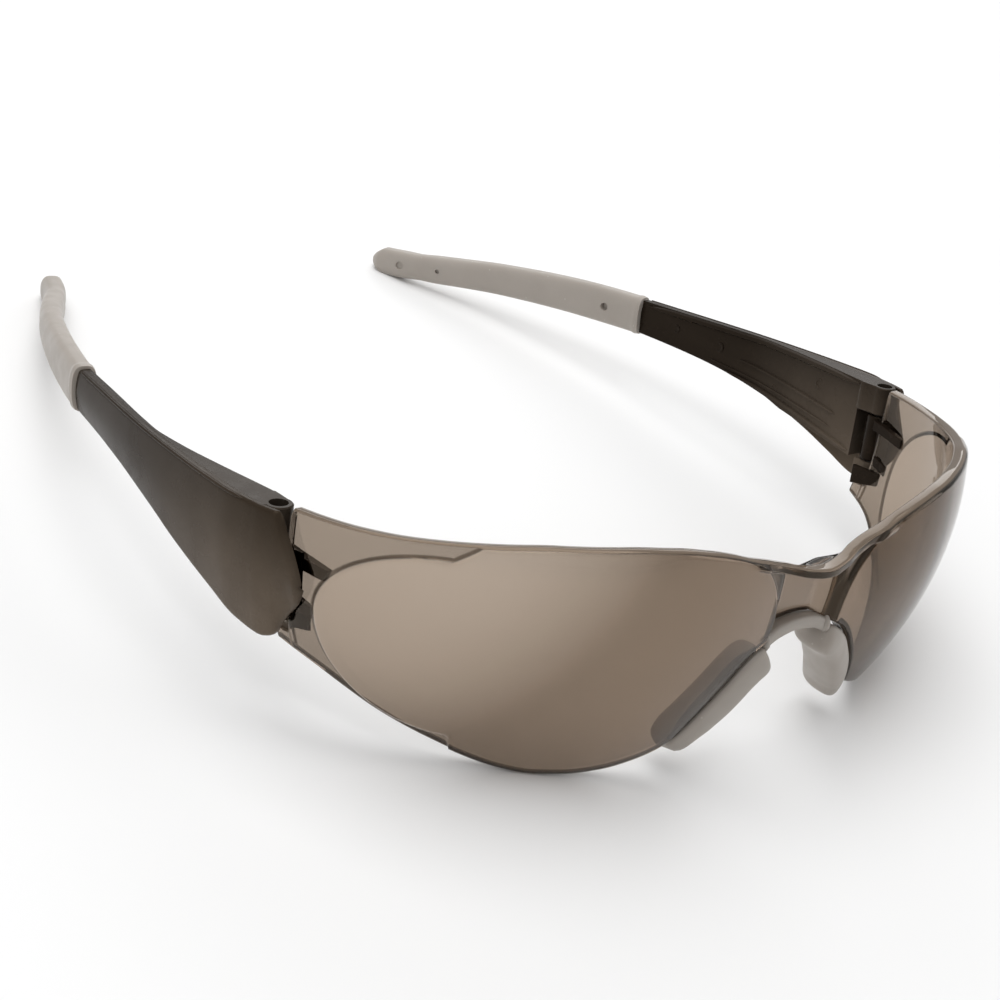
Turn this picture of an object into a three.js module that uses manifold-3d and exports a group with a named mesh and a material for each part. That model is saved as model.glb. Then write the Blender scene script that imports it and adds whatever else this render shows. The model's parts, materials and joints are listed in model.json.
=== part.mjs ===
// Wraparound safety glasses: a one-piece tinted lens, two folding temples with soft sleeves,
// a soft nose piece and two hinge pins. Millimetres, +Z up.
//
// Everything is first laid out in the worn frame: X across the face (+X is the wearer's left),
// -Y forward, +Z up, with the origin midway between the two hinge pins at the height of the
// temples' flat tops. The whole is then tipped back about X until the lower edge of the lens and
// the ends of the temples stand on one plane, and moved so that the origin is at the middle of
// the footprint.
import * as THREE from "three";
import { mergeVertices } from "three/addons/utils/BufferGeometryUtils.js";
import Module from "manifold-3d";

const wasm = await Module();
wasm.setup();

// ---------------------------------------------------------------- driving dimensions
const REST_TILT = THREE.MathUtils.degToRad(11.95); // worn frame tipped back onto a flat surface
const REST_SHIFT = [0, -37.49, 32.25]; // worn origin to the middle of the footprint

const LENS_THICKNESS = 2.0;
const BRIDGE_HALF = 12; // half width of the stretch across the nose that doesn't wrap
const BRIDGE_BACK = 2.6; // how far the bridge lies behind the two fronts of the lens
const BRIDGE_SINK = 2.2; // how far its panel is sunk below the optical zones' surroundings
const WRAP_RADIUS = 56; // millimetres along the wrap per radian of plan angle
const LENS_CENTRE_Y = 8.2; // centre line of the wrap's quarter ellipses
const LENS_REACH = 76.5; // end of the side shields, along the wrap from the bridge's edge
const TAIL_REACH = 80; // end of the narrow tail that runs back under the hinge
const TAIL_TOP = -19.7;
const SHELL_STATIONS = [0, 2.5, 4.5, 6.2, 7.8, 9.4, 11.2, 13.4, 16, 19]; // the first sections of the lens
const SHELL_STEP = 3.2; // spacing of the others along the wrap
const SHELL_ROWS = 9; // rows of facets from the top edge to the bottom edge

const ZONE_RAISE = 0.6; // how far an optical zone stands out of the shell
const ZONE_INSET = 0.4; // rim left round a zone at the top and bottom edges
const ZONE_SECTIONS = 22;

const PIN_X = 70; // hinge pin, from the middle plane
const PIN_RADIUS = 1.0;
const RUNNING_GAP = 0.12; // pin to bore, on the radius
const PART_GAP = 0.35; // between pieces that meet
const TOP_LUG_RADIUS = 2.2; // the temple's upper knuckle
const BOTTOM_LUG_RADIUS = 1.9;
const BOTTOM_LUG_END = -19.3;
const LENS_KNUCKLE_RADIUS = 2.2;
const KNUCKLE_TOP = -5.8; // the lens's knuckle, between the temple's two
const KNUCKLE_BOTTOM = -14.9;
const PIN_TOP = -1.3;
const PIN_BOTTOM = -18.3;
const PIN_RECESS_RADIUS = 1.45; // open mouth above the pin
const ROUND_SIDES = 24;

const SLEEVE_FRONT = 62.5; // where the soft sleeve starts, behind the pin
const SLEEVE_END = 125;
const TONGUE_END = 112; // the temple's core inside the sleeve
const SLEEVE_HALF_WIDTH = 2.15;

// ---------------------------------------------------------------- curves
// A smooth line through [x, y] pairs: cubic pieces that never overshoot their end points.
function smoothLine(points) {
  const slope = points.map((point, i) => {
    if (i === 0 || i === points.length - 1) return null;
    const before = (point[1] - points[i - 1][1]) / (point[0] - points[i - 1][0]);
    const after = (points[i + 1][1] - point[1]) / (points[i + 1][0] - point[0]);
    return before * after > 0 ? (2 * before * after) / (before + after) : 0;
  });
  const chord = (i) => (points[i + 1][1] - points[i][1]) / (points[i + 1][0] - points[i][0]);
  slope[0] = 1.5 * chord(0) - 0.5 * slope[1];
  const last = points.length - 1;
  slope[last] = 1.5 * chord(last - 1) - 0.5 * slope[last - 1];
  return (x) => {
    if (x <= points[0][0]) return points[0][1];
    if (x >= points[last][0]) return points[last][1];
    let i = 0;
    while (x > points[i + 1][0]) i += 1;
    const width = points[i + 1][0] - points[i][0];
    const t = (x - points[i][0]) / width;
    const here = points[i][1] * (2 * t ** 3 - 3 * t ** 2 + 1) + slope[i] * width * (t ** 3 - 2 * t ** 2 + t);
    return here + points[i + 1][1] * (3 * t ** 2 - 2 * t ** 3) + slope[i + 1] * width * (t ** 3 - t ** 2);
  };
}

const lerp = THREE.MathUtils.lerp;
const smoothstep = THREE.MathUtils.smoothstep;
const vector = (x, y, z) => new THREE.Vector3(x, y, z);

// ---------------------------------------------------------------- solids
// A closed body through a row of loops that all have the same even number of points. The ends are
// closed by strips from each point to its opposite number.
function loft(loops) {
  const count = loops[0].length;
  const positions = [];
  for (const loop of loops) for (const point of loop) positions.push(point.x, point.y, point.z);
  const index = [];
  for (let i = 0; i < loops.length - 1; i += 1) {
    for (let j = 0; j < count; j += 1) {
      const next = (j + 1) % count;
      const [a, b, c, d] = [i * count + j, i * count + next, (i + 1) * count + next, (i + 1) * count + j];
      index.push(a, b, c, a, c, d);
    }
  }
  for (const [start, flip] of [[0, true], [(loops.length - 1) * count, false]]) {
    for (let j = 0; j < count / 2 - 1; j += 1) {
      const [a, b, c, d] = [start + j, start + j + 1, start + count - 2 - j, start + count - 1 - j];
      if (flip) index.push(a, c, b, a, d, c);
      else index.push(a, b, c, a, c, d);
    }
  }
  return toSolid(positions, index);
}

function toSolid(positions, index) {
  const geometry = new THREE.BufferGeometry();
  geometry.setAttribute("position", new THREE.Float32BufferAttribute(positions, 3));
  geometry.setIndex(index);
  return geometryToSolid(geometry);
}

function geometryToSolid(geometry) {
  const bare = geometry.clone();
  bare.deleteAttribute("normal");
  bare.deleteAttribute("uv");
  const merged = mergeVertices(bare, 1e-4);
  const triVerts = new Uint32Array(merged.index.array);
  const points = merged.getAttribute("position");
  let volume = 0;
  const [a, b, c] = [vector(0, 0, 0), vector(0, 0, 0), vector(0, 0, 0)];
  for (let i = 0; i < triVerts.length; i += 3) {
    a.fromBufferAttribute(points, triVerts[i]);
    b.fromBufferAttribute(points, triVerts[i + 1]);
    c.fromBufferAttribute(points, triVerts[i + 2]);
    volume += a.dot(b.cross(c));
  }
  if (volume < 0) {
    for (let i = 0; i < triVerts.length; i += 3) {
      [triVerts[i + 1], triVerts[i + 2]] = [triVerts[i + 2], triVerts[i + 1]];
    }
  }
  return new wasm.Manifold(new wasm.Mesh({ numProp: 3, vertProperties: points.array, triVerts }));
}

function solidToGeometry(solid) {
  const mesh = solid.getMesh();
  const geometry = new THREE.BufferGeometry();
  geometry.setAttribute("position", new THREE.Float32BufferAttribute(mesh.vertProperties, 3));
  geometry.setIndex(Array.from(mesh.triVerts));
  return geometry;
}

// A round post standing on z = bottom.
function post(x, y, bottom, top, radius) {
  const cylinder = new THREE.CylinderGeometry(radius, radius, top - bottom, ROUND_SIDES);
  cylinder.rotateX(Math.PI / 2);
  cylinder.translate(x, y, (bottom + top) / 2);
  return geometryToSolid(cylinder);
}

// A closed outline of [x, y] pairs between two heights given as functions of y.
function plate(outline, bottomAt, topAt) {
  const shape = new THREE.Shape(outline.map(([x, y]) => new THREE.Vector2(x, y)));
  const slab = new THREE.ExtrudeGeometry(shape, { depth: 1, bevelEnabled: false, steps: 1 });
  const points = slab.getAttribute("position");
  for (let i = 0; i < points.count; i += 1) {
    const y = points.getY(i);
    points.setZ(i, points.getZ(i) > 0.5 ? topAt(y) : bottomAt(y));
  }
  return geometryToSolid(slab);
}

// Everything below the surface that the glasses stand on. Cutting it away leaves small flats.
function ground() {
  const thickness = 20;
  const block = new THREE.BoxGeometry(400, 400, thickness);
  block.translate(-REST_SHIFT[0], -REST_SHIFT[1], -REST_SHIFT[2] - thickness / 2);
  block.rotateX(REST_TILT);
  return geometryToSolid(block);
}

// The same solid on the other side of the middle plane.
const mirrored = (solid) => {
  const geometry = solidToGeometry(solid);
  geometry.scale(-1, 1, 1);
  return geometryToSolid(geometry);
};

// ---------------------------------------------------------------- the lens's surface
// The lens is drawn on its own wrap: s runs along the wrap from the middle plane, z is the height.
const lensHalfWidth = (z) => 71.5 - 0.0112 * (z + 6) ** 2;
const lensDepth = (z) => 53.5 - 0.0088 * (z + 5.7) ** 2;
const bridgeBack = (along) => BRIDGE_BACK * (1 - smoothstep(along, 4, 34));
const bridgeSink = (along) => BRIDGE_SINK * (1 - smoothstep(along, 4.2, 8.2));

function wrapPoint(s, z) {
  const side = Math.sign(s) || 1;
  const along = Math.abs(s);
  const angle = Math.max(0, along - BRIDGE_HALF) / WRAP_RADIUS;
  const across = Math.min(along, BRIDGE_HALF) + (lensHalfWidth(z) - BRIDGE_HALF) * Math.sin(angle);
  return vector(side * across, LENS_CENTRE_Y + bridgeBack(along) - lensDepth(z) * Math.cos(angle), z);
}

// The point under or over the wrap, measured along its normal: out is positive.
function lensPoint(s, z, out) {
  const step = 0.05;
  const along = wrapPoint(s + step, z).sub(wrapPoint(s - step, z));
  const up = wrapPoint(s, z + step).sub(wrapPoint(s, z - step));
  const normal = along.cross(up).normalize();
  return wrapPoint(s, z).addScaledVector(normal, out);
}

const topEdge = smoothLine([
  [-4, -5.4], [0, -5.8], [4, -5.4], [8, -4.4], [12, -3.2], [16, -2], [20, -0.6], [24, 0.5], [30, 1.6],
  [38, 2.1], [48, 2.1], [56, 1.6], [64, 1], [72, 0.5], [80, 0.3], [92, 0.3],
]);
const bottomEdge = smoothLine([
  [-4, -16.8], [0, -16.4], [4, -16.8], [6.5, -17.6], [8.5, -18.5], [11, -19.9], [12.8, -21.5], [15, -24.2],
  [17.2, -27], [20, -31], [22.3, -34.2], [25, -35.6], [30, -37.1], [35, -38.3], [41, -39], [47, -39],
  [53, -38], [59, -36.1], [64.2, -33.9], [69, -31.9], [74, -29.6], [80, -26.4], [84.5, -24.3], [92, -21.9],
]);

// One cross-section of a shell: down the outside, back up the inside.
function shellLoop(s, top, bottom, rows, outer, inner) {
  const heights = Array.from({ length: rows + 1 }, (_, i) => lerp(top, bottom, i / rows));
  const outside = heights.map((z) => lensPoint(s, z, outer));
  const inside = heights.map((z) => lensPoint(s, z, inner)).reverse();
  return [...outside, ...inside];
}

function lensShell() {
  const first = SHELL_STATIONS.at(-1);
  const reach = BRIDGE_HALF + LENS_REACH;
  const steps = Math.round((reach - first) / SHELL_STEP);
  const half = [...SHELL_STATIONS];
  for (let i = 1; i <= steps; i += 1) half.push(lerp(first, reach, i / steps));
  half.push(reach + 0.2, BRIDGE_HALF + TAIL_REACH);
  const stations = [...half.slice(1).reverse().map((s) => -s), ...half];
  return loft(stations.map((s) => {
    const along = Math.abs(s);
    const sink = bridgeSink(along);
    // the bridge's rim stands over its sunken panel, and only the tail runs on past the hinge
    const top = along > reach + 0.1 ? TAIL_TOP : topEdge(along) - 0.5 * sink;
    return shellLoop(s, top, bottomEdge(along), SHELL_ROWS, -sink, -sink - LENS_THICKNESS);
  }));
}

// The outline of an optical zone: a quarter ellipse next to the bridge, the lens's own edges
// along the middle, and two quarter ellipses at the temple end.
const ZONE_INNER = { centre: 28, level: -14.5, reach: 20, up: 15.6 };
const ZONE_OUTER = { centre: 62, level: -14.3, reach: 20.8, up: 13, down: 17.1 };

function zoneTop(s) {
  let top = topEdge(s) - ZONE_INSET;
  if (s < ZONE_INNER.centre) {
    const across = (ZONE_INNER.centre - s) / ZONE_INNER.reach;
    top = Math.min(top, ZONE_INNER.level + ZONE_INNER.up * Math.sqrt(Math.max(0, 1 - across ** 2)));
  }
  if (s > ZONE_OUTER.centre) {
    const across = (s - ZONE_OUTER.centre) / ZONE_OUTER.reach;
    top = Math.min(top, ZONE_OUTER.level + ZONE_OUTER.up * Math.sqrt(Math.max(0, 1 - across ** 2)));
  }
  return top;
}

function zoneBottom(s) {
  let bottom = bottomEdge(s) + ZONE_INSET;
  if (s > ZONE_OUTER.centre) {
    const across = (s - ZONE_OUTER.centre) / ZONE_OUTER.reach;
    bottom = Math.max(bottom, ZONE_OUTER.level - ZONE_OUTER.down * Math.sqrt(Math.max(0, 1 - across ** 2)));
  }
  return bottom;
}

function opticalZone() {
  const first = ZONE_INNER.centre - ZONE_INNER.reach + 0.05;
  const last = ZONE_OUTER.centre + ZONE_OUTER.reach - 0.15;
  const loops = [];
  for (let i = 0; i <= ZONE_SECTIONS; i += 1) {
    const s = lerp(first, last, (1 - Math.cos((Math.PI * i) / ZONE_SECTIONS)) / 2);
    loops.push(shellLoop(s, zoneTop(s), zoneBottom(s), SHELL_ROWS, ZONE_RAISE, -1));
  }
  return loft(loops);
}

// The rim that carries the top edge across the bridge. It arches forward over the sunken panel,
// and slopes back under its top face to meet it.
const RIM_HALF = 17;
const RIM_HEIGHT = 1.6;
const RIM_DEPTH = 2.4;
const rimRear = smoothLine([[-5, -0.1], [0, 0.6], [5, -0.1], [8, -1], [11, -1.5], [17, -1.9]]);

function bridgeRim() {
  const loops = [];
  for (let i = -8; i <= 8; i += 1) {
    const s = (RIM_HALF * i) / 8;
    const along = Math.abs(s);
    const top = topEdge(along) - 0.05;
    const bottom = top - RIM_HEIGHT;
    const rear = rimRear(along);
    const front = rear + RIM_DEPTH;
    const root = Math.min(rear, -1.2 - 0.7 * bridgeSink(along));
    const section = [[top, front], [bottom, front], [bottom, root], [top, rear]];
    loops.push(section.map(([z, out]) => lensPoint(s, z, out)));
  }
  return loft(loops);
}

// Where the nose edge runs, and the direction across it that points at the nose.
const NOSE_EDGE = { from: 9, to: 22.2 };
const BACKWARDS = vector(0, 1, 0);

function noseEdge(t) {
  const s = lerp(NOSE_EDGE.from, NOSE_EDGE.to, t);
  const step = 0.5;
  const along = lensPoint(s + step, bottomEdge(s + step), 0).sub(lensPoint(s - step, bottomEdge(s - step), 0));
  const toNose = along.cross(BACKWARDS).normalize();
  if (toNose.x > 0) toNose.negate();
  return { edge: lensPoint(s, bottomEdge(s), 0), toNose };
}

// The flange that turns back along the nose edge, where the pad sits.
const FLANGE_DEPTH = 2.6;
const FLANGE_THICKNESS = 1.6;

function noseFlange() {
  const loops = [];
  for (let i = 0; i <= 6; i += 1) {
    const { edge, toNose } = noseEdge(lerp(0.05, 0.95, i / 6));
    const depth = FLANGE_DEPTH * Math.sqrt(Math.max(0.15, 1 - (2 * i / 6 - 1) ** 4));
    const at = (across, back) => edge.clone().addScaledVector(toNose, across).addScaledVector(BACKWARDS, back);
    const [near, away] = [-0.15, -0.15 - FLANGE_THICKNESS];
    loops.push([at(near, 0.4), at(near, depth), at(away, depth), at(away, 0.4)]);
  }
  return loft(loops);
}

// Knuckle, web and two gussets that carry the pin inside the side shield.
const GUSSET_SLOPE = 0.16; // the gussets rise towards the hinge
const GUSSET_HEIGHT = 1.9;

function hingeBlock() {
  const knuckle = post(PIN_X, 0, KNUCKLE_BOTTOM, KNUCKLE_TOP, LENS_KNUCKLE_RADIUS);
  const web = plate(
    [[68.1, -5.5], [68.5, -5.5], [69.6, -3], [70.8, -0.5], [70, 1.4], [68.2, 0.4]],
    () => KNUCKLE_BOTTOM, () => KNUCKLE_TOP,
  );
  const upperTop = (y) => KNUCKLE_TOP + GUSSET_SLOPE * (y - 1);
  const upper = plate(
    [[68.3, 1.3], [67, 0.6], [66.8, -2.8], [65.6, -9], [66.9, -9], [69, -2.8], [69.8, 0.4]],
    (y) => upperTop(y) - GUSSET_HEIGHT, upperTop,
  );
  const lowerBottom = (y) => KNUCKLE_BOTTOM + 0.3 * (y + 2.8);
  const lower = plate(
    [[66.8, -2.8], [66.1, -6.4], [67.4, -6.4], [69, -2.8]],
    lowerBottom, (y) => lowerBottom(y) + GUSSET_HEIGHT,
  );
  return knuckle.add(web).add(upper).add(lower);
}

function lensBody() {
  const half = [opticalZone(), noseFlange(), hingeBlock()].reduce((sum, piece) => sum.add(piece));
  const bore = post(PIN_X, 0, KNUCKLE_BOTTOM - 5, KNUCKLE_TOP + 5, PIN_RADIUS + RUNNING_GAP);
  const oneSide = half.subtract(bore);
  return lensShell().add(bridgeRim()).add(oneSide).add(mirrored(oneSide)).subtract(ground());
}

// ---------------------------------------------------------------- temples
const panelOuter = smoothLine([
  [-10, 70.5], [-6, 71.4], [-2.5, 72.5], [0, 73.2], [3, 73.7], [8, 74.1], [15, 73.9], [24, 73.3], [34, 72.3],
  [44, 70.9], [54, 69.3], [64, 67.7],
]);
const panelTop = smoothLine([
  [-7.3, -9.9], [-6.9, -8.5], [-6, -6.6], [-5, -4.6], [-4.1, -2.8], [-3.4, -1.1], [-2.8, -0.2], [-2.4, 0],
  [64, 0.2],
]);
const panelBottom = smoothLine([
  [-7.3, -10.9], [-6.7, -12.7], [-5.4, -14.4], [-3.9, -16.4], [-3.2, -17.7], [-2.6, -19.1], [-1.6, -20.1],
  [0.2, -20.6], [5, -19.9], [11.5, -17.6], [20, -14.6], [30, -11.6], [43, -9], [54, -7.8], [64, -7.1],
]);
const flangeInner = smoothLine([
  [0, 67.7], [6, 68.4], [16, 69.7], [25, 70.6], [31, 70.8], [38, 70], [47, 68.5], [54, 67.3], [64, 65.7],
]);
const PANEL_STATIONS = [
  -7.3, -7.05, -6.6, -5.9, -5.2, -4.5, -3.8, -3.1, -2.4, -1.2, 0.5, 3, 6, 10, 14, 19, 24, 29, 35, 41, 47,
  53, 58, 62.2,
];

// The panel's outer face: crowned from top to bottom, and leaning in at the lower front corner.
function panelFace(y, t) {
  const lean = 1.3 * (1 - smoothstep(y, 2, 26));
  return panelOuter(y) + 0.6 * Math.sin(Math.PI * t) - lean * t * t;
}

// How far out the side shield reaches at a given place, seen from the front.
function shieldOuter(y, z) {
  const share = Math.min(1, (LENS_CENTRE_Y - y) / lensDepth(z));
  return BRIDGE_HALF + (lensHalfWidth(z) - BRIDGE_HALF) * Math.sqrt(1 - share ** 2);
}

// The panel's front lip lies over the outside of the side shield, and clear of the optical zone.
function templePanel() {
  const rows = 5;
  const loops = PANEL_STATIONS.map((y) => {
    const wall = lerp(1.2, 1.7, smoothstep(y, 0, 8));
    const overZone = ZONE_RAISE * (1 - smoothstep(y, -7, -5));
    const outside = [];
    const inside = [];
    for (let i = 0; i <= rows; i += 1) {
      const t = i / rows;
      const z = lerp(panelTop(y), panelBottom(y), t);
      const shield = y < 1 ? shieldOuter(y, z) + PART_GAP + overZone : 0;
      const face = Math.max(panelFace(y, t), shield + wall);
      outside.push(vector(face, y, z));
      inside.unshift(vector(face - wall, y, z));
    }
    return [...outside, ...inside];
  });
  return loft(loops);
}

// The thick inner part: its lower edge rises clear of the panel's, which leaves a long pocket.
function templeCore() {
  const pocketRoof = smoothLine([[2, -15.6], [30, -11.9], [40, -9.6]]);
  const loops = PANEL_STATIONS.filter((y) => y > -0.5).map((y) => {
    const top = panelTop(y);
    const bottom = Math.max(panelBottom(y) + 0.3, pocketRoof(y));
    const outer = panelOuter(y) - 0.6;
    const inner = flangeInner(y);
    return [vector(outer, y, top), vector(outer, y, bottom), vector(inner, y, bottom), vector(inner, y, top)];
  });
  return loft(loops);
}

// The temple's centre line behind the panel, as [distance back, distance out, height].
const rearOut = smoothLine([
  [50, 68.9], [62, 66.9], [75, 63.4], [86, 59.6], [97, 55.0], [106, 50.2], [112, 46.6], [117, 44.0],
  [121.5, 42.2], [125, 40.9],
]);
const rearHeight = smoothLine([[50, -3.9], [62, -3.4], [80, -3.1], [95, -3.4], [110, -4.2], [125, -4.9]]);

// A rounded section across the centre line: half width and half height, flattened at the sides.
function rearLoop(y, halfWidth, halfHeight, sides) {
  const step = 0.5;
  const heading = vector(rearOut(y + step) - rearOut(y - step), 2 * step, 0).normalize();
  const across = vector(heading.y, -heading.x, 0);
  const centre = vector(rearOut(y), y, rearHeight(y));
  return Array.from({ length: sides }, (_, i) => {
    const angle = (2 * Math.PI * (i + 0.5)) / sides;
    const [c, s] = [Math.cos(angle), Math.sin(angle)];
    const out = halfWidth * Math.sign(c) * Math.abs(c) ** 0.6;
    const up = halfHeight * Math.sign(s) * Math.abs(s) ** 0.75;
    return centre.clone().addScaledVector(across, out).add(vector(0, 0, up));
  });
}

function rearBar(from, to, sections, halfWidth, halfHeight, sides) {
  const loops = [];
  for (let i = 0; i <= sections; i += 1) {
    const y = lerp(from, to, i / sections);
    loops.push(rearLoop(y, halfWidth(y), halfHeight(y), sides));
  }
  return loft(loops);
}

function temple() {
  const lugTop = post(PIN_X, 0, KNUCKLE_TOP + PART_GAP, 0, TOP_LUG_RADIUS);
  const lugBottom = post(PIN_X, 0, BOTTOM_LUG_END, KNUCKLE_BOTTOM - PART_GAP, BOTTOM_LUG_RADIUS);
  const tongue = rearBar(58, TONGUE_END, 14, () => 0.95, () => 2.4, 8);
  // room for the lens's knuckle and gussets, open towards the front
  const recess = plate(
    [[60, -2.9], [71.5, -2.9], [72.1, -1.4], [72.5, 0.2], [72.5, 1.2], [71.6, 2.6], [70.4, 3.9], [60, 3.9]],
    () => KNUCKLE_BOTTOM - PART_GAP, () => KNUCKLE_TOP + PART_GAP,
  );
  const bore = post(PIN_X, 0, PIN_BOTTOM - 0.2, 1, PIN_RADIUS + RUNNING_GAP);
  const mouth = post(PIN_X, 0, PIN_TOP + 0.1, 1, PIN_RECESS_RADIUS);
  const lugs = lugTop.add(lugBottom);
  return templePanel().add(templeCore()).subtract(recess).add(lugs).add(tongue).subtract(bore).subtract(mouth);
}

// ---------------------------------------------------------------- soft sleeves
const sleeveHalfHeight = (y) => {
  const nose = Math.sqrt(Math.min(1, Math.max(0.25, (SLEEVE_END - y) / 3)));
  return lerp(4.0, 3.1, smoothstep(y, 66, 118)) * nose;
};
const sleeveHalfWidth = (y) => SLEEVE_HALF_WIDTH * Math.sqrt(Math.min(1, Math.max(0.3, (SLEEVE_END - y) / 2)));

// Moulding holes on the side that faces the head, as [distance back, radius, depth].
const SLEEVE_HOLES = [[71, 0.85, 1.1], [109.5, 0.5, 0.6], [117.5, 0.9, 0.5]];

function sleeve() {
  const stations = [62.5, 66, 72, 78, 84, 90, 96, 101, 105, 109, 112, 115, 118, 121, 123, 124.2, 125];
  const tube = loft(stations.map((y) => rearLoop(y, sleeveHalfWidth(y), sleeveHalfHeight(y), 16)));
  const outside = tube.subtract(ground());
  const cavity = rearBar(
    SLEEVE_FRONT - 3, TONGUE_END + 1, 14, () => 0.95 + PART_GAP, () => 2.4 + PART_GAP, 8,
  );
  return SLEEVE_HOLES.reduce((solid, [y, radius, depth]) => {
    const drill = new THREE.CylinderGeometry(radius, radius, 2 * depth, 12);
    drill.rotateZ(Math.PI / 2);
    const heading = Math.atan2(rearOut(y + 0.5) - rearOut(y - 0.5), 1);
    drill.rotateZ(-heading);
    const across = vector(Math.cos(heading), -Math.sin(heading), 0);
    const place = vector(rearOut(y), y, rearHeight(y)).addScaledVector(across, -sleeveHalfWidth(y));
    drill.translate(place.x, place.y, place.z);
    return solid.subtract(geometryToSolid(drill));
  }, outside.subtract(cavity));
}

// ---------------------------------------------------------------- nose piece
// A pad's cross-section, as [distance from the lens edge towards the nose, distance back].
const PAD_SECTION = [
  [0.35, -0.2], [1.6, -1.3], [4, -1.6], [5.2, -0.8], [5.5, 1], [5.2, 4], [4.2, 6], [2.4, 6.4], [0.8, 5.8],
  [0.35, 4],
];
const PAD_MIDDLE = [2.6, 1.6];

// The pad follows the nose edge of the lens, on the side of the flange that faces the nose. It
// gets less deep towards its lower end.
function nosePad() {
  const loops = [];
  const steps = 12;
  for (let i = 0; i <= steps; i += 1) {
    const t = lerp(-0.06, 1.03, i / steps);
    const { edge, toNose } = noseEdge(t);
    const swell = Math.max(0.2, 1 - Math.abs(2 * i / steps - 1) ** 8) ** 0.5;
    const depth = lerp(1, 0.72, smoothstep(t, 0.8, 1.1));
    loops.push(PAD_SECTION.map(([across, back]) => edge.clone()
      .addScaledVector(toNose, Math.max(PART_GAP, lerp(PAD_MIDDLE[0], across, swell)))
      .addScaledVector(BACKWARDS, lerp(PAD_MIDDLE[1], back > 0 ? back * depth : back, swell))));
  }
  return loft(loops);
}

// The strip that joins the pads under the bridge. It is thicker towards its two ends.
const STRIP_HALF = 7.6;
const STRIP_FRONT = -41.4;
const STRIP_REAR = -38.4;
const STRIP_HEIGHT = 1.7;

function noseStrip() {
  const steps = 8;
  const loops = [];
  for (let i = -steps; i <= steps; i += 1) {
    const x = (STRIP_HALF * i) / steps;
    const roof = bottomEdge(Math.abs(x)) - PART_GAP - 0.1;
    const floor = roof - STRIP_HEIGHT - 0.012 * x * x;
    const section = [[STRIP_FRONT, roof], [STRIP_REAR, roof], [STRIP_REAR, floor], [STRIP_FRONT, floor]];
    loops.push(section.map(([y, z]) => vector(x, y, z)));
  }
  return loft(loops);
}

function nosePiece() {
  const pad = nosePad();
  return noseStrip().add(pad).add(mirrored(pad));
}

// ---------------------------------------------------------------- pins
const hingePin = () => post(PIN_X, 0, PIN_BOTTOM, PIN_TOP, PIN_RADIUS);

// ---------------------------------------------------------------- assembly
const plastic = (color, roughness, opacity = 1) => new THREE.MeshStandardMaterial({
  color, roughness, metalness: 0, opacity, transparent: opacity < 1,
});
const materials = {
  lens: plastic(0x8a7c70, 0.08, 0.6),
  temple: plastic(0x3b322c, 0.25),
  soft: plastic(0xa39b92, 0.55),
  pin: new THREE.MeshStandardMaterial({ color: 0x2a2826, roughness: 0.35, metalness: 0.9 }),
};

const worn = new THREE.Group();
worn.rotation.x = -REST_TILT;
worn.position.set(...REST_SHIFT);

function addPiece(name, solid, material) {
  const mesh = new THREE.Mesh(solidToGeometry(solid), material);
  mesh.name = name;
  worn.add(mesh);
}

addPiece("lens", lensBody(), materials.lens);
addPiece("nose_piece", nosePiece(), materials.soft);
for (const [side, place] of [["left", (solid) => solid], ["right", mirrored]]) {
  addPiece(`temple_${side}`, place(temple()), materials.temple);
  addPiece(`temple_sleeve_${side}`, place(sleeve()), materials.soft);
  addPiece(`hinge_pin_${side}`, place(hingePin()), materials.pin);
}

const glasses = new THREE.Group();
glasses.add(worn);
export default glasses;
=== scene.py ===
import json
import math

import bmesh
import bpy
import numpy as np
from mathutils import Matrix, Vector


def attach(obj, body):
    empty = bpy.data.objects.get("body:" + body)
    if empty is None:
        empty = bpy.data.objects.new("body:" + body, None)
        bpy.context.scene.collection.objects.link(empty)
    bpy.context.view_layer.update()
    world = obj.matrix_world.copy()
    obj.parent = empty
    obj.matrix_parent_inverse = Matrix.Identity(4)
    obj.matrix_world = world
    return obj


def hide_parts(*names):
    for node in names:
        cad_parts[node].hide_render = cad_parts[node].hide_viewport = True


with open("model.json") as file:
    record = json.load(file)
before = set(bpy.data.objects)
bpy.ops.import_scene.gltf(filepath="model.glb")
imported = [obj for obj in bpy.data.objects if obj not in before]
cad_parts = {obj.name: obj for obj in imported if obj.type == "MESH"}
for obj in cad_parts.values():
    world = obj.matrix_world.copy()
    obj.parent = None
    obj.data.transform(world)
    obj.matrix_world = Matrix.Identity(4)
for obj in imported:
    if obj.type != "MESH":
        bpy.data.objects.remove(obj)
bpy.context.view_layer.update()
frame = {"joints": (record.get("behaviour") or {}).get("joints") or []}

# Wraparound safety glasses. All shapes are laid out in the worn frame, in millimetres: X across
# the face (+X is the wearer's left), -Y forward, +Z up, the origin midway between the hinge pins.
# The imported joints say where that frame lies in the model.

# ---------------------------------------------------------------- driving dimensions
LENS_THICKNESS = 2.0
BRIDGE_HALF = 12.0
BRIDGE_BACK = 2.6
BRIDGE_SINK = 2.2
WRAP_RADIUS = 56.0
LENS_CENTRE_Y = 8.2
LENS_REACH = 76.5
TAIL_REACH = 80.0
TAIL_TOP = -19.7
EDGE_ROUND = 0.45
RIM_HEIGHT = 1.6
RIM_DEPTH = 2.4
FLANGE_DEPTH = 2.6
FLANGE_NEAR = -0.15  # the flange's two faces, measured from the nose edge towards the nose
FLANGE_FAR = -1.45

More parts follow.
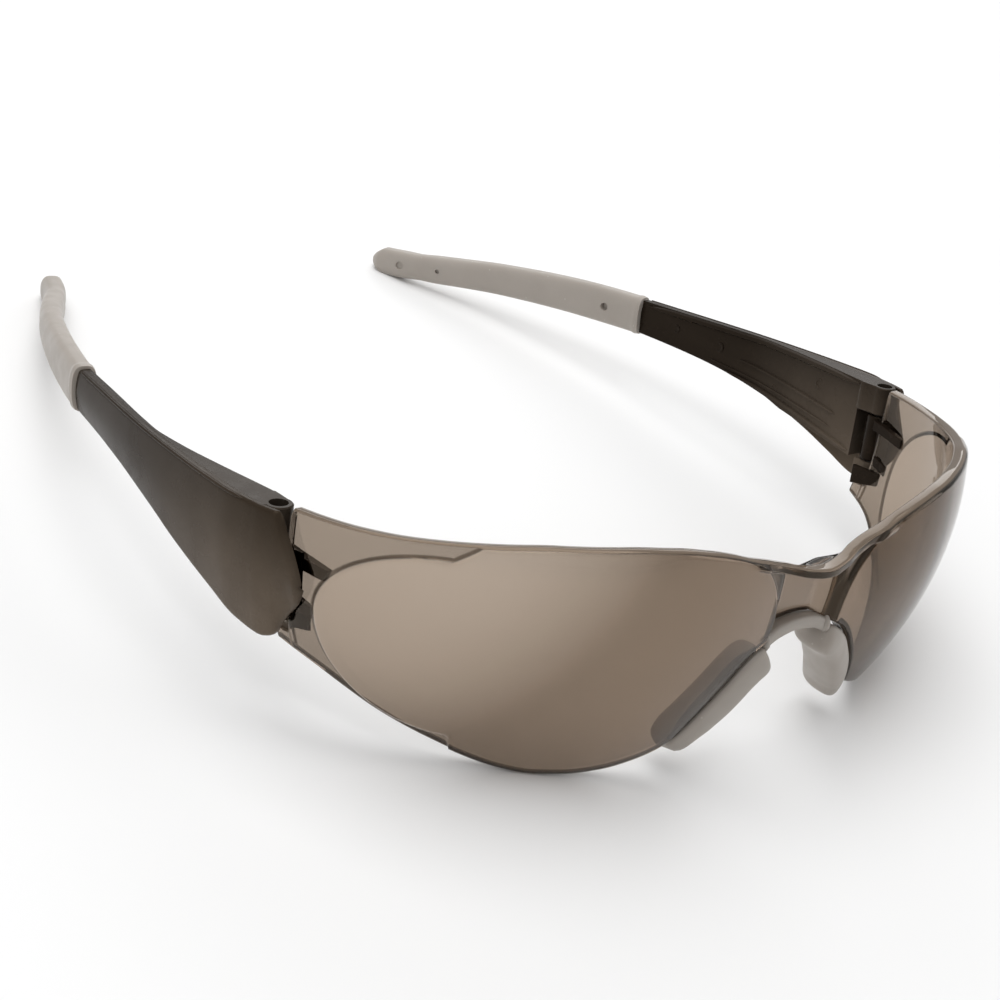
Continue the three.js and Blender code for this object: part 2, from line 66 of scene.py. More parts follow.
# an optical zone's outline: a quarter ellipse next to the bridge and two at the temple end
ZONE_RAISE = 0.6
ZONE_INSET = 0.4
INNER_CENTRE = 28
INNER_LEVEL = -14.5
INNER_REACH = 20
INNER_UP = 15.6
OUTER_CENTRE = 62
OUTER_LEVEL = -14.3
OUTER_REACH = 20.8
OUTER_UP = 13.0
OUTER_DOWN = 17.1
ZONE_SCALE = 17  # millimetres for a whole radius of an ellipse
FAR_INSIDE = 99  # stands for a place that an ellipse doesn't bound
HOOK_START = 58.3  # where the outline leaves the top edge, and drops to its level
HOOK_LENGTH = 3.7
HOOK_LEVEL = -1.3

PIN_X = 70.0
PIN_RADIUS = 1.0
BORE_RADIUS = 1.12
MOUTH_RADIUS = 1.45
TOP_LUG_RADIUS = 2.2
BOTTOM_LUG_RADIUS = 1.9
BOTTOM_LUG_END = -19.3
KNUCKLE_RADIUS = 2.2
KNUCKLE_TOP = -5.8
KNUCKLE_BOTTOM = -14.9
PIN_TOP = -1.3
PIN_BOTTOM = -18.3
PART_GAP = 0.35

PANEL_FRONT = -7.3
PANEL_REAR = 62.2
LIP_REAR = 1  # in front of this the panel lies over the side shield
RECESS_FRONT = -2.9  # room inside the panel for the lens's knuckle
RECESS_REAR = 2.7
RECESS_WALL = 72.45

SLEEVE_FRONT = 62.5
SLEEVE_END = 125.0
SLEEVE_HALF_WIDTH = 2.15
SLEEVE_NECK = 113.5  # where the sleeve is a little narrower, before its end
SLEEVE_HOLES = [(71, 0.85, 1.1), (109.5, 0.5, 0.6), (117.5, 0.9, 0.5)]  # distance back, radius, depth
TONGUE_END = 112


# ---------------------------------------------------------------- curves
def smooth_line(points):
    """A monotone cubic through (x, y) pairs, held level outside them."""
    xs, ys = np.array(points, float).T
    chord = np.diff(ys) / np.diff(xs)
    slope = np.zeros(len(xs))
    before, after = chord[:-1], chord[1:]
    same = before * after > 0
    slope[1:-1][same] = 2 * before[same] * after[same] / (before[same] + after[same])
    slope[0] = 1.5 * chord[0] - 0.5 * slope[1]
    slope[-1] = 1.5 * chord[-1] - 0.5 * slope[-2]

    def value(x):
        x = np.clip(np.asarray(x, float), xs[0], xs[-1])
        i = np.clip(np.searchsorted(xs, x) - 1, 0, len(xs) - 2)
        width = xs[i + 1] - xs[i]
        t = (x - xs[i]) / width
        start = ys[i] * (2 * t**3 - 3 * t**2 + 1) + slope[i] * width * (t**3 - 2 * t**2 + t)
        return start + ys[i + 1] * (3 * t**2 - 2 * t**3) + slope[i + 1] * width * (t**3 - t**2)

    return value


def smoothstep(x, start, end):
    t = np.clip((np.asarray(x, float) - start) / (end - start), 0, 1)
    return t * t * (3 - 2 * t)


def mix(a, b, t):
    return a + (b - a) * t


def round_angles(count):
    return np.linspace(0, 2 * math.pi, count + 1)[:-1]


# ---------------------------------------------------------------- the worn frame in the model
LEFT_FOLD = next(joint for joint in frame["joints"] if joint["name"] == "left_fold")
UP = Vector(LEFT_FOLD["axis"]).normalized()
ACROSS = Vector((1, 0, 0))
BACK = UP.cross(ACROSS)
ORIGIN = Vector((0, LEFT_FOLD["pos_m"][1], LEFT_FOLD["pos_m"][2]))
WORN_AXES = np.array([ACROSS, BACK, UP])


def to_model(points):
    return np.asarray(points, float) @ WORN_AXES / 1000 + np.array(ORIGIN)


# ---------------------------------------------------------------- meshes
def loft(loops):
    """A closed body through loops of equal length, its two ends filled by one face each."""
    loops = np.asarray(loops, float)
    rows, count = loops.shape[:2]
    faces = []
    for i in range(rows - 1):
        for j in range(count):
            k = (j + 1) % count
            faces.append((i * count + j, i * count + k, (i + 1) * count + k, (i + 1) * count + j))
    faces.append(tuple(range(count))[::-1])
    faces.append(tuple((rows - 1) * count + j for j in range(count)))
    return loops.reshape(-1, 3), faces


OUTLINE = 200  # in a turned profile, stands for the radius that outer(angle) gives


def turned(profile, centre, outer=None, sides=40):
    """A ring: a closed profile of (radius, height) pairs turned about an upright axis. Radii near
    OUTLINE are counted from outer(angle), so the ring's outline needn't be round."""
    loops = []
    for i in range(sides):
        angle = 2 * math.pi * i / sides
        reach = outer(angle) if outer else 0
        radii = [r if r < OUTLINE / 2 else reach + (r - OUTLINE) for r, _ in profile]
        loops.append([
            (centre[0] + r * math.cos(angle), centre[1] + r * math.sin(angle), z)
            for r, (_, z) in zip(radii, profile)
        ])
    loops = np.array(loops)
    count = loops.shape[1]
    faces = []
    for i in range(sides):
        n = (i + 1) % sides
        for j in range(count):
            k = (j + 1) % count
            faces.append((i * count + j, n * count + j, n * count + k, i * count + k))
    return loops.reshape(-1, 3), faces


def plate(outline, bottom_at, top_at):
    """A closed outline of (x, y) pairs between two heights given as functions of y."""
    loops = [[(x, y, height(y)) for x, y in outline] for height in (bottom_at, top_at)]
    return loft(loops)


def build(name, bodies, material, side=1, bevel=0.0, segments=3, sharp=35, layers=()):
    """One mesh object from closed bodies given in the worn frame; side -1 mirrors it. Nothing
    goes below the surface that the glasses stand on. layers are (name, one value for each point)
    pairs, kept on the mesh for its material."""
    mesh = bmesh.new()
    for points, faces in bodies:
        points = np.array(points, float)
        points[:, 0] *= side
        placed = to_model(points)
        placed[:, 2] = np.maximum(placed[:, 2], 0)
        made = [mesh.verts.new(p) for p in placed]
        for face in faces:
            mesh.faces.new([made[i] for i in face])
    bmesh.ops.recalc_face_normals(mesh, faces=mesh.faces)
    data = bpy.data.meshes.new(name)
    mesh.to_mesh(data)
    mesh.free()
    piece = bpy.data.objects.new(name, data)
    bpy.context.scene.collection.objects.link(piece)
    data.materials.append(material)
    for layer, values in layers:
        data.attributes.new(layer, "FLOAT", "POINT").data.foreach_set("value", np.asarray(values, np.float32))
    for face in data.polygons:
        face.use_smooth = True
    if bevel:
        edges = piece.modifiers.new("rounding", "BEVEL")
        edges.width = bevel / 1000
        edges.segments = segments
        edges.limit_method = "ANGLE"
        edges.angle_limit = math.radians(sharp)
        edges.use_clamp_overlap = True
        edges.harden_normals = False
        shading = piece.modifiers.new("shading", "WEIGHTED_NORMAL")
        shading.keep_sharp = True
    return piece


def settle(piece):
    """Applies the piece's modifiers."""
    bpy.context.view_layer.update()
    graph = bpy.context.evaluated_depsgraph_get()
    data = bpy.data.meshes.new_from_object(piece.evaluated_get(graph))
    piece.modifiers.clear()
    piece.data = data


# ---------------------------------------------------------------- material nodes
class Nodes:
    """Short calls for a material's node tree."""

    def __init__(self, name):
        self.material = bpy.data.materials.new(name)
        self.material.use_nodes = True
        self.tree = self.material.node_tree
        self.shader = self.tree.nodes["Principled BSDF"]
        self.place = self.add("ShaderNodeTexCoord").outputs["Object"]

    def add(self, kind, **values):
        node = self.tree.nodes.new(kind)
        for key, value in values.items():
            setattr(node, key, value)
        return node

    def link(self, a, b):
        self.tree.links.new(a, b)

    def set(self, **values):
        for key, value in values.items():
            self.shader.inputs[key.replace("_", " ")].default_value = value

    def stretched(self, scale):
        mapping = self.add("ShaderNodeMapping")
        mapping.inputs["Scale"].default_value = scale
        self.link(self.place, mapping.inputs["Vector"])
        return mapping.outputs["Vector"]

    def noise(self, scale, detail=3.0, roughness=0.5, place=None):
        node = self.add("ShaderNodeTexNoise")
        node.inputs["Scale"].default_value = scale
        node.inputs["Detail"].default_value = detail
        node.inputs["Roughness"].default_value = roughness
        self.link(place or self.place, node.inputs["Vector"])
        return node.outputs["Fac"]

    def specks(self, scale, radius, place=None):
        """1 inside small scattered dots."""
        node = self.add("ShaderNodeTexVoronoi")
        node.inputs["Scale"].default_value = scale
        self.link(place or self.place, node.inputs["Vector"])
        return self.span(node.outputs["Distance"], radius, radius * 0.6, 0, 1)

    def span(self, value, start, end, low, high):
        node = self.add("ShaderNodeMapRange")
        node.interpolation_type = "SMOOTHSTEP"
        node.inputs["From Min"].default_value = start
        node.inputs["From Max"].default_value = end
        node.inputs["To Min"].default_value = low
        node.inputs["To Max"].default_value = high
        self.link(value, node.inputs["Value"])
        return node.outputs["Result"]

    def maths(self, operation, a, b):
        node = self.add("ShaderNodeMath", operation=operation)
        for socket, value in zip(node.inputs, (a, b)):
            if isinstance(value, (int, float)):
                socket.default_value = value
            else:
                self.link(value, socket)
        return node.outputs["Value"]

    def ramp(self, value, stops):
        node = self.add("ShaderNodeValToRGB")
        bands = node.color_ramp.elements
        while len(bands) < len(stops):
            bands.new(0.5)
        for band, (at, colour) in zip(bands, stops):
            band.position = at
            band.color = (*colour, 1)
        self.link(value, node.inputs["Fac"])
        return node.outputs["Color"]

    def blend(self, a, b, factor):
        node = self.add("ShaderNodeMix", data_type="RGBA")
        self.link(factor, node.inputs["Factor"])
        sockets = [s for s in node.inputs if s.type == "RGBA"]
        for socket, value in zip(sockets, (a, b)):
            if isinstance(value, tuple):
                socket.default_value = (*value, 1)
            else:
                self.link(value, socket)
        return [s for s in node.outputs if s.type == "RGBA"][0]

    def bump(self, height, strength, distance, before=None):
        node = self.add("ShaderNodeBump")
        node.inputs["Strength"].default_value = strength
        node.inputs["Distance"].default_value = distance
        self.link(height, node.inputs["Height"])
        if before:
            self.link(before, node.inputs["Normal"])
        return node.outputs["Normal"]


def smoke_lens():
    """Smoke-tinted clear plastic. Inside the optical zones a painted reflection deepens the tint a little
    outwards and then clears it towards the hinges and the top; around them it is darker, and painted shade
    draws a dark line along each step."""
    n = Nodes("smoke_lens")
    n.set(IOR=1.5, Specular_IOR_Level=0.34, Specular_Tint=(1.0, 0.76, 0.54, 1))
    split = n.add("ShaderNodeSeparateXYZ")
    n.link(n.place, split.inputs["Vector"])
    # painted reflection: the base colour grows lighter towards the hinges and towards the top of the lens
    out = n.maths("ABSOLUTE", split.outputs["X"], 0.0)
    drift = n.maths("MULTIPLY", n.noise(14, 2.0), 0.006)
    level = n.maths("MULTIPLY", split.outputs["Z"], 0.55)
    along = n.maths("ADD", n.maths("ADD", out, drift), level)
    reflection_gradient = n.span(along, 0.018, 0.080, 0, 1)
    tint = n.ramp(reflection_gradient, [
        (0.0, (0.57, 0.50, 0.44)), (0.3, (0.54, 0.48, 0.42)), (0.7, (0.50, 0.45, 0.40)),
        (1.0, (0.95, 0.92, 0.88)),
    ])
    around = n.ramp(reflection_gradient, [
        (0.0, (0.34, 0.29, 0.245)), (0.45, (0.42, 0.37, 0.32)), (1.0, (0.34, 0.305, 0.27)),
    ])
    zone = n.add("ShaderNodeAttribute", attribute_name="zone_depth").outputs["Fac"]
    tint = n.blend(around, tint, n.span(zone, -0.2, 0.3, 0, 1))
    # painted shade: a dark, less clear line along each zone's step, where the step's wall looks dark
    ring = n.maths("MULTIPLY", n.span(zone, -0.75, -0.4, 0, 1), n.span(zone, -0.1, 0.2, 1, 0))
    tint = n.blend(tint, (0.024, 0.014, 0.008), n.maths("MULTIPLY", ring, 0.9))
    rim = n.add("ShaderNodeAttribute", attribute_name="rim").outputs["Fac"]
    tint = n.blend(tint, (0.20, 0.155, 0.118), rim)
    n.link(tint, n.shader.inputs["Base Color"])
    clear = n.maths("MULTIPLY", n.span(rim, 0.0, 1.0, 1.0, 0.35), n.span(ring, 0.0, 1.0, 1.0, 0.7))
    n.link(clear, n.shader.inputs["Transmission Weight"])
    body = n.add("ShaderNodeVolumeAbsorption")
    body.inputs["Color"].default_value = (0.38, 0.25, 0.12, 1)
    body.inputs["Density"].default_value = 490
    n.link(body.outputs["Volume"], n.tree.nodes["Material Output"].inputs["Volume"])
    scuffs = n.noise(260, 4.0, 0.6, n.stretched((1, 0.25, 0.6)))
    n.link(n.span(scuffs, 0.45, 0.75, 0.02, 0.06), n.shader.inputs["Roughness"])
    ripple = n.bump(n.noise(70, 1.0), 0.05, 0.0003)
    n.link(n.bump(n.specks(420, 0.09), 0.05, 0.00003, ripple), n.shader.inputs["Normal"])
    return n.material


def smoke_thick(name, dark, light):
    """The same plastic where it is thick: dark brown, glossy."""
    n = Nodes(name)
    n.set(IOR=1.5, Specular_IOR_Level=0.09, Specular_Tint=(1.0, 0.78, 0.58, 1))
    cloud = n.noise(160, 3.0)
    n.link(n.ramp(cloud, [(0.3, dark), (0.7, light)]), n.shader.inputs["Base Color"])
    n.link(n.span(n.noise(500, 3.0), 0.3, 0.7, 0.18, 0.3), n.shader.inputs["Roughness"])
    n.link(n.bump(n.noise(700, 2.0), 0.1, 0.00005), n.shader.inputs["Normal"])
    return n.material


def temple_plastic(name, dark, light):
    """Dark brown moulded plastic with faint flow marks, with painted light that makes the lower front
    corner browner and lighter, and a little rubbed on its edges."""
    n = Nodes(name)
    n.set(IOR=1.5, Specular_IOR_Level=0.09, Specular_Tint=(1.0, 0.78, 0.58, 1))
    flow = n.noise(55, 5.0, 0.6, n.stretched((1.6, 0.35, 1.6)))
    body = n.ramp(flow, [(0.3, dark), (0.7, light)])
    split = n.add("ShaderNodeSeparateXYZ")
    n.link(n.place, split.inputs["Vector"])
    # painted light: the lower front corner is made browner and lighter where the panel's curve turns it to
    # the lamps
    forward = n.span(split.outputs["Y"], 0.002, -0.044, 0, 1)
    low = n.span(split.outputs["Z"], 0.037, 0.016, 0, 1)
    patches = n.span(n.noise(120, 3.0), 0.3, 0.7, 0.8, 1)
    lit_front_corner = n.maths("MULTIPLY", n.maths("MULTIPLY", forward, low), patches)
    body = n.blend(body, (0.125, 0.098, 0.074), lit_front_corner)
    edges = n.add("ShaderNodeNewGeometry").outputs["Pointiness"]
    worn = n.span(n.noise(500, 3.0), 0.35, 0.65, 0.3, 1)
    rubbed = n.maths("MULTIPLY", n.span(edges, 0.54, 0.62, 0, 0.22), worn)
    n.link(n.blend(body, (0.11, 0.092, 0.078), rubbed), n.shader.inputs["Base Color"])
    n.link(n.span(n.noise(180, 4.0), 0.35, 0.7, 0.20, 0.32), n.shader.inputs["Roughness"])
    grain = n.bump(n.noise(1800, 2.0), 0.08, 0.00003)
    n.link(n.bump(n.noise(60, 2.0), 0.02, 0.0001, grain), n.shader.inputs["Normal"])
    return n.material


def soft_rubber():
    """Satin grey-brown elastomer with a fine moulded grain and a few pale specks."""
    n = Nodes("soft_rubber")
    n.set(IOR=1.5, Specular_IOR_Level=0.4, Subsurface_Weight=0.12, Subsurface_Scale=0.002, Sheen_Weight=0.1)
    n.shader.inputs["Subsurface Radius"].default_value = (1.0, 0.8, 0.65)
    cloud = n.noise(90, 4.0, 0.55)
    body = n.ramp(cloud, [(0.3, (0.335, 0.300, 0.265)), (0.7, (0.365, 0.328, 0.292))])
    lint = n.specks(380, 0.07)
    n.link(n.blend(body, (0.55, 0.52, 0.48), n.maths("MULTIPLY", lint, 0.5)), n.shader.inputs["Base Color"])
    n.link(n.span(n.noise(300, 3.0), 0.3, 0.7, 0.36, 0.52), n.shader.inputs["Roughness"])
    grain = n.bump(n.noise(2600, 2.0), 0.25, 0.00004)
    n.link(n.bump(n.noise(320, 2.0), 0.05, 0.0001, grain), n.shader.inputs["Normal"])
    return n.material


def pin_steel():
    """Blackened steel with turning marks round the pin."""
    n = Nodes("pin_steel")
    n.set(Metallic=1.0)
    marks = n.noise(900, 3.0, 0.5, n.stretched((0.15, 0.15, 4)))
    steel = n.ramp(marks, [(0.3, (0.07, 0.066, 0.062)), (0.7, (0.16, 0.15, 0.14))])
    n.link(steel, n.shader.inputs["Base Color"])
    n.link(n.span(marks, 0.3, 0.7, 0.28, 0.45), n.shader.inputs["Roughness"])
    n.link(n.bump(marks, 0.2, 0.00003), n.shader.inputs["Normal"])
    return n.material


SMOKE = smoke_lens()
SMOKE_THICK = smoke_thick("smoke_lens_thick", (0.008, 0.0055, 0.0038), (0.016, 0.011, 0.0076))
SMOKE_FLANGE = smoke_thick("smoke_lens_flange", (0.042, 0.025, 0.012), (0.062, 0.038, 0.020))
# two copies of one plastic: the panel's lighter, browner copy is painted light on the outer side, and the
# core's darker copy, also used on the lugs, is painted shade on the inner side
TEMPLE = temple_plastic("temple_plastic", (0.016, 0.0105, 0.0062), (0.024, 0.0163, 0.0102))
TEMPLE_CORE_SHADED = temple_plastic("temple_core_plastic_shaded", (0.011, 0.0078, 0.0055), (0.019, 0.0138, 0.0098))
SOFT = soft_rubber()
STEEL = pin_steel()

# ---------------------------------------------------------------- the lens's surface
top_edge = smooth_line([
    (-4, -5.4), (0, -5.8), (4, -5.4), (8, -4.4), (12, -3.2), (16, -2), (20, -0.6), (24, 0.5), (30, 1.6),
    (38, 2.1), (48, 2.1), (56, 1.6), (64, 1), (72, 0.5), (80, 0.3), (92, 0.3),
])
bottom_edge = smooth_line([
    (-4, -16.8), (0, -16.4), (4, -16.8), (6.5, -17.6), (8.5, -18.5), (11, -19.9), (12.8, -21.5), (15, -24.2),
    (17.2, -27), (20, -31), (22.3, -34.2), (25, -35.6), (30, -37.1), (35, -38.3), (41, -39), (47, -39),
    (53, -38), (59, -36.1), (64.2, -33.9), (69, -31.9), (74, -29.6), (80, -26.4), (84.5, -24.3), (92, -21.9),
])
rim_rear = smooth_line([(-5, -0.1), (0, 0.6), (5, -0.1), (8, -1), (11, -1.5), (17, -1.9)])


def half_width(z):
    return 71.5 - 0.0112 * (z + 6) ** 2


def lens_depth(z):
    return 53.5 - 0.0088 * (z + 5.7) ** 2


def wrap_point(s, z):
    side = np.where(s < 0, -1.0, 1.0)
    along = np.abs(s)
    angle = np.maximum(0, along - BRIDGE_HALF) / WRAP_RADIUS
    across = np.minimum(along, BRIDGE_HALF) + (half_width(z) - BRIDGE_HALF) * np.sin(angle)
    back = BRIDGE_BACK * (1 - smoothstep(along, 4, 34))
    return np.stack([side * across, LENS_CENTRE_Y + back - lens_depth(z) * np.cos(angle), z], axis=-1)


def lens_point(s, z, out):
    s, z, out = np.broadcast_arrays(np.asarray(s, float), np.asarray(z, float), np.asarray(out, float))
    step = 0.05
    along = wrap_point(s + step, z) - wrap_point(s - step, z)
    up = wrap_point(s, z + step) - wrap_point(s, z - step)
    normal = np.cross(along, up)
    normal /= np.linalg.norm(normal, axis=-1, keepdims=True)
    return wrap_point(s, z) + normal * out[..., None]


def bridge_sink(along):
    return BRIDGE_SINK * (1 - smoothstep(along, 4.2, 8.2))


def zone_depth(along, z):
    """Roughly how far inside the optical zone's outline a point is, in millimetres."""
    above = np.maximum(0, z - INNER_LEVEL)
    inner = 1 - np.hypot((INNER_CENTRE - along) / INNER_REACH, above / INNER_UP)
    inside = np.where(along < INNER_CENTRE, inner * ZONE_SCALE, FAR_INSIDE)
    half_height = np.where(z > OUTER_LEVEL, OUTER_UP, OUTER_DOWN)
    outer = 1 - np.hypot((along - OUTER_CENTRE) / OUTER_REACH, (z - OUTER_LEVEL) / half_height)
    inside = np.where(along > OUTER_CENTRE, np.minimum(inside, outer * ZONE_SCALE), inside)
    drop = np.clip((along - HOOK_START) / HOOK_LENGTH, 0, 1)
    hook = mix(top_edge(along) - ZONE_INSET, HOOK_LEVEL, drop)
    inside = np.minimum(inside, hook - z)
    return np.minimum(inside, z - bottom_edge(along) - ZONE_INSET)


def front_offset(s, z):
    along = np.abs(s)
    below = top_edge(along) - z
    rim = (1 - smoothstep(below, RIM_HEIGHT - 0.25, RIM_HEIGHT + 0.25)) * (1 - smoothstep(along, 13, 18))
    face = mix(-bridge_sink(along), rim_rear(along) + RIM_DEPTH, rim)
    return face + ZONE_RAISE * smoothstep(zone_depth(along, z), -0.4, 0.4)


def rear_offset(s, z):
    along = np.abs(s)
    below = top_edge(along) - z
    rim = (1 - smoothstep(below, 0.4, 2.8)) * (1 - smoothstep(along, 14, 19))
    return mix(-bridge_sink(along) - LENS_THICKNESS, rim_rear(along), rim)


WELL_INSIDE = 9.0  # a zone depth that is past every line and step
LENS_COLUMNS = 610
FRONT_ROWS = 112
REAR_ROWS = 46


def lens_shell():
    """The whole lens as one closed shell with rounded edges and the zones' steps."""
    reach = BRIDGE_HALF + TAIL_REACH
    s = np.linspace(-reach, reach, LENS_COLUMNS)
    tail = smoothstep(np.abs(s), BRIDGE_HALF + LENS_REACH - 0.5, BRIDGE_HALF + LENS_REACH + 0.1)
    top, bottom = mix(top_edge(np.abs(s)), TAIL_TOP, tail), bottom_edge(np.abs(s))
    taper = np.sqrt(np.clip((reach - np.abs(s)) / 0.7 + 0.15, 0, 1))
    turn = np.radians([0, 22, 45, 68, 90])
    columns, depths, rims = [], [], []
    end_rim = np.clip(tail * 2, 0, 1) * (np.abs(s) < BRIDGE_HALF + LENS_REACH + 0.3)

    def add(z, out, rim=0.0):
        columns.append(lens_point(s, z, out))
        # the painted shade line round the zone is twice as wide towards the nose
        depths.append(zone_depth(np.abs(s), z) * mix(0.5, 1, smoothstep(np.abs(s), 12, 24)))
        rims.append(np.maximum(end_rim, rim))

    def level(z):
        front, rear = front_offset(s, z), rear_offset(s, z)
        middle = (front + rear) / 2
        return mix(middle, front, taper), mix(middle, rear, taper)

    def add_edge(edge, down, angles, face, into):
        """A quarter round between an edge and the front (0) or rear (1) face."""
        for angle in angles:
            z = edge + down * EDGE_ROUND * (1 - math.sin(angle))
            add(z, level(z)[face] + into * EDGE_ROUND * (1 - math.cos(angle)), float(angle > 0))

    def add_face(shares, face):
        for share in shares:
            z = mix(top - EDGE_ROUND, bottom + EDGE_ROUND, share)
            add(z, level(z)[face])

    add_edge(top, -1, turn[::-1], 0, -1)
    add_face(np.linspace(0, 1, FRONT_ROWS)[1:-1], 0)
    add_edge(bottom, 1, turn, 0, -1)
    inner_from = len(columns)
    add_edge(bottom, 1, turn[::-1], 1, 1)
    add_face(np.linspace(1, 0, REAR_ROWS)[1:-1], 1)
    add_edge(top, -1, turn, 1, 1)
    # the zones' painted shade lines are drawn on the front face only
    depths[inner_from:] = [np.full_like(s, WELL_INSIDE)] * (len(depths) - inner_from)
    layers = [("zone_depth", np.stack(depths, axis=1).ravel()), ("rim", np.stack(rims, axis=1).ravel())]
    return loft(np.stack(columns, axis=1)), layers


# ---------------------------------------------------------------- the lens's hinge and nose flange
def chamfered_ring(inner, outer, bottom, top, chamfer=0.2):
    return [
        (inner + chamfer, top), (outer - chamfer, top), (outer, top - chamfer), (outer, bottom + chamfer),
        (outer - chamfer, bottom), (inner + chamfer, bottom), (inner, bottom + chamfer),
        (inner, top - chamfer),
    ]


GUSSET_HEIGHT = 1.9


def upper_gusset_top(y):
    return KNUCKLE_TOP - 0.05 + 0.16 * (y - 1)


def lower_gusset_bottom(y):
    return KNUCKLE_BOTTOM + 0.3 * (y + 2.8)


def hinge_block():
    """The lens's knuckle, its web and two gussets, and a skirt on the inner side below them."""
    knuckle = turned(chamfered_ring(BORE_RADIUS, KNUCKLE_RADIUS, KNUCKLE_BOTTOM, KNUCKLE_TOP), (PIN_X, 0))
    web = plate(
        [(68.1, -5.2), (68.6, -5.2), (69.4, -3), (69.8, -1.6), (68.4, -1.3), (68.2, -2.5)],
        lambda y: KNUCKLE_BOTTOM + 0.1, lambda y: KNUCKLE_TOP - 0.1,
    )
    upper = plate(
        [(68.4, -1.5), (67.0, -1.2), (66.8, -2.8), (65.7, -9), (66.9, -9), (69, -2.8), (69.6, -1.7)],
        lambda y: upper_gusset_top(y) - GUSSET_HEIGHT, upper_gusset_top,
    )
    lower = plate(
        [(66.9, -2.8), (66.2, -6.4), (67.4, -6.4), (69, -2.8)],
        lower_gusset_bottom, lambda y: lower_gusset_bottom(y) + GUSSET_HEIGHT,
    )
    skirt = plate(
        [(66.0, -5.5), (66.9, -5.5), (66.75, 1.0), (66.05, 1.0)],
        lambda y: -19.4 - 0.2 * y, lambda y: -15.8,
    )
    return [knuckle, web, upper, lower, skirt]


BACKWARDS = np.array([0.0, 1.0, 0.0])
NOSE_EDGE_START = 9.0  # the nose edge's two ends, along the wrap
NOSE_EDGE_END = 22.2


def nose_edge(t):
    """A point on the lens's nose edge and the direction across it, towards the nose."""
    s = mix(NOSE_EDGE_START, NOSE_EDGE_END, t)
    before, after = s - 0.5, s + 0.5
    along = lens_point(after, bottom_edge(after), 0) - lens_point(before, bottom_edge(before), 0)
    to_nose = np.cross(along, BACKWARDS)
    to_nose /= np.linalg.norm(to_nose)
    if to_nose[0] > 0:
        to_nose = -to_nose
    return lens_point(s, bottom_edge(s), 0), to_nose


def nose_flange():
    """The flange that turns back along the nose edge, where the pad sits."""
    loops = []
    for i in range(25):
        edge, to_nose = nose_edge(mix(0.05, 0.95, i / 24))
        depth = FLANGE_DEPTH * math.sqrt(max(0.15, 1 - (i / 12 - 1) ** 4))
        corners = [(FLANGE_NEAR, 0.4), (FLANGE_NEAR, depth), (FLANGE_FAR, depth), (FLANGE_FAR, 0.4)]
        loops.append([edge + to_nose * across + BACKWARDS * back for across, back in corners])
    return loft(loops)


# ---------------------------------------------------------------- nose piece
PAD_SECTION = [
    (0.35, -0.2), (1.6, -1.3), (4, -1.6), (5.2, -0.8), (5.5, 1), (5.2, 4), (4.2, 6), (2.4, 6.4), (0.8, 5.8),
    (0.35, 4),
]
PAD_MIDDLE = (2.6, 1.6)
PAD_CLEARANCE = 0.33
STRIP_HALF = 7.6
STRIP_Y = -39.9
STRIP_HALF_DEPTH = 1.5
STRIP_HEIGHT = 2.25
TAB_AT = (7.2, -41.0, -17.7)
TAB_RINGS = ((-2.2, 0.5), (-1.4, 0.85), (-0.4, 0.8), (0.2, 0.55), (0.6, 0.28), (0.75, 0.08))  # lift, size


def rounded(section, finer=4):
    """A closed section run through by a Catmull-Rom line."""
    points = np.array(section, float)
    out = []
    for i in range(len(points)):
        a, b, c, d = (points[(i + k) % len(points)] for k in (-1, 0, 1, 2))
        for step in range(finer):
            t = step / finer
            out.append(0.5 * (2 * b + (c - a) * t + (2 * a - 5 * b + 4 * c - d) * t**2
                              + (3 * b - a - 3 * c + d) * t**3))
    return np.array(out)


def nose_pad():
    """The soft pad along the nose edge. It gets slimmer and less deep towards its lower end."""
    section = rounded(PAD_SECTION)
    section[:, 0] = np.maximum(section[:, 0], PAD_CLEARANCE)
    loops = []
    for i in range(57):
        share = i / 56
        t = mix(-0.09, 1.03, share)
        edge, to_nose = nose_edge(t)
        swell = max(0.02, 1 - abs(2 * share - 1) ** 14) ** 0.5
        depth = mix(1, 0.88, smoothstep(t, 0.8, 1.1))
        slim = mix(1, 0.78, smoothstep(t, 0.6, 1.05))
        across = mix(PAD_MIDDLE[0], section[:, 0], swell) * slim
        back = np.where(section[:, 1] > 0, section[:, 1] * depth, section[:, 1])
        back = mix(PAD_MIDDLE[1], back, swell)
        across = np.maximum(PAD_CLEARANCE, across)
        loops.append(edge + across[:, None] * to_nose + back[:, None] * BACKWARDS)
    return loft(loops)


def nose_strip():
    """The rounded strip that joins the pads under the bridge, thicker towards its ends."""
    loops = []
    for i in range(49):
        x = mix(-STRIP_HALF, STRIP_HALF, i / 48)
        roof = float(bottom_edge(abs(x))) + 0.45
        floor = roof - STRIP_HEIGHT - 0.008 * x * x
        half = (roof - floor) / 2
        loop = []
        for k in range(20):
            angle = 2 * math.pi * k / 20
            c, s = math.cos(angle), math.sin(angle)
            y = STRIP_Y + STRIP_HALF_DEPTH * math.copysign(abs(c) ** 0.5, c)
            z = (roof + floor) / 2 + half * math.copysign(abs(s) ** 0.5, s)
            loop.append((x, y, z))
        loops.append(loop)
    return loft(loops)


def nose_tab(side):
    """The small peak that hooks over the lens's edge at the strip's end."""
    x, y, z = TAB_AT
    loops = []
    for lift, size in TAB_RINGS:
        loops.append([
            (side * (x + 0.9 * size * math.cos(a)), y + 1.1 * size * math.sin(a), z + lift)
            for a in round_angles(16)
        ])
    return loft(loops)


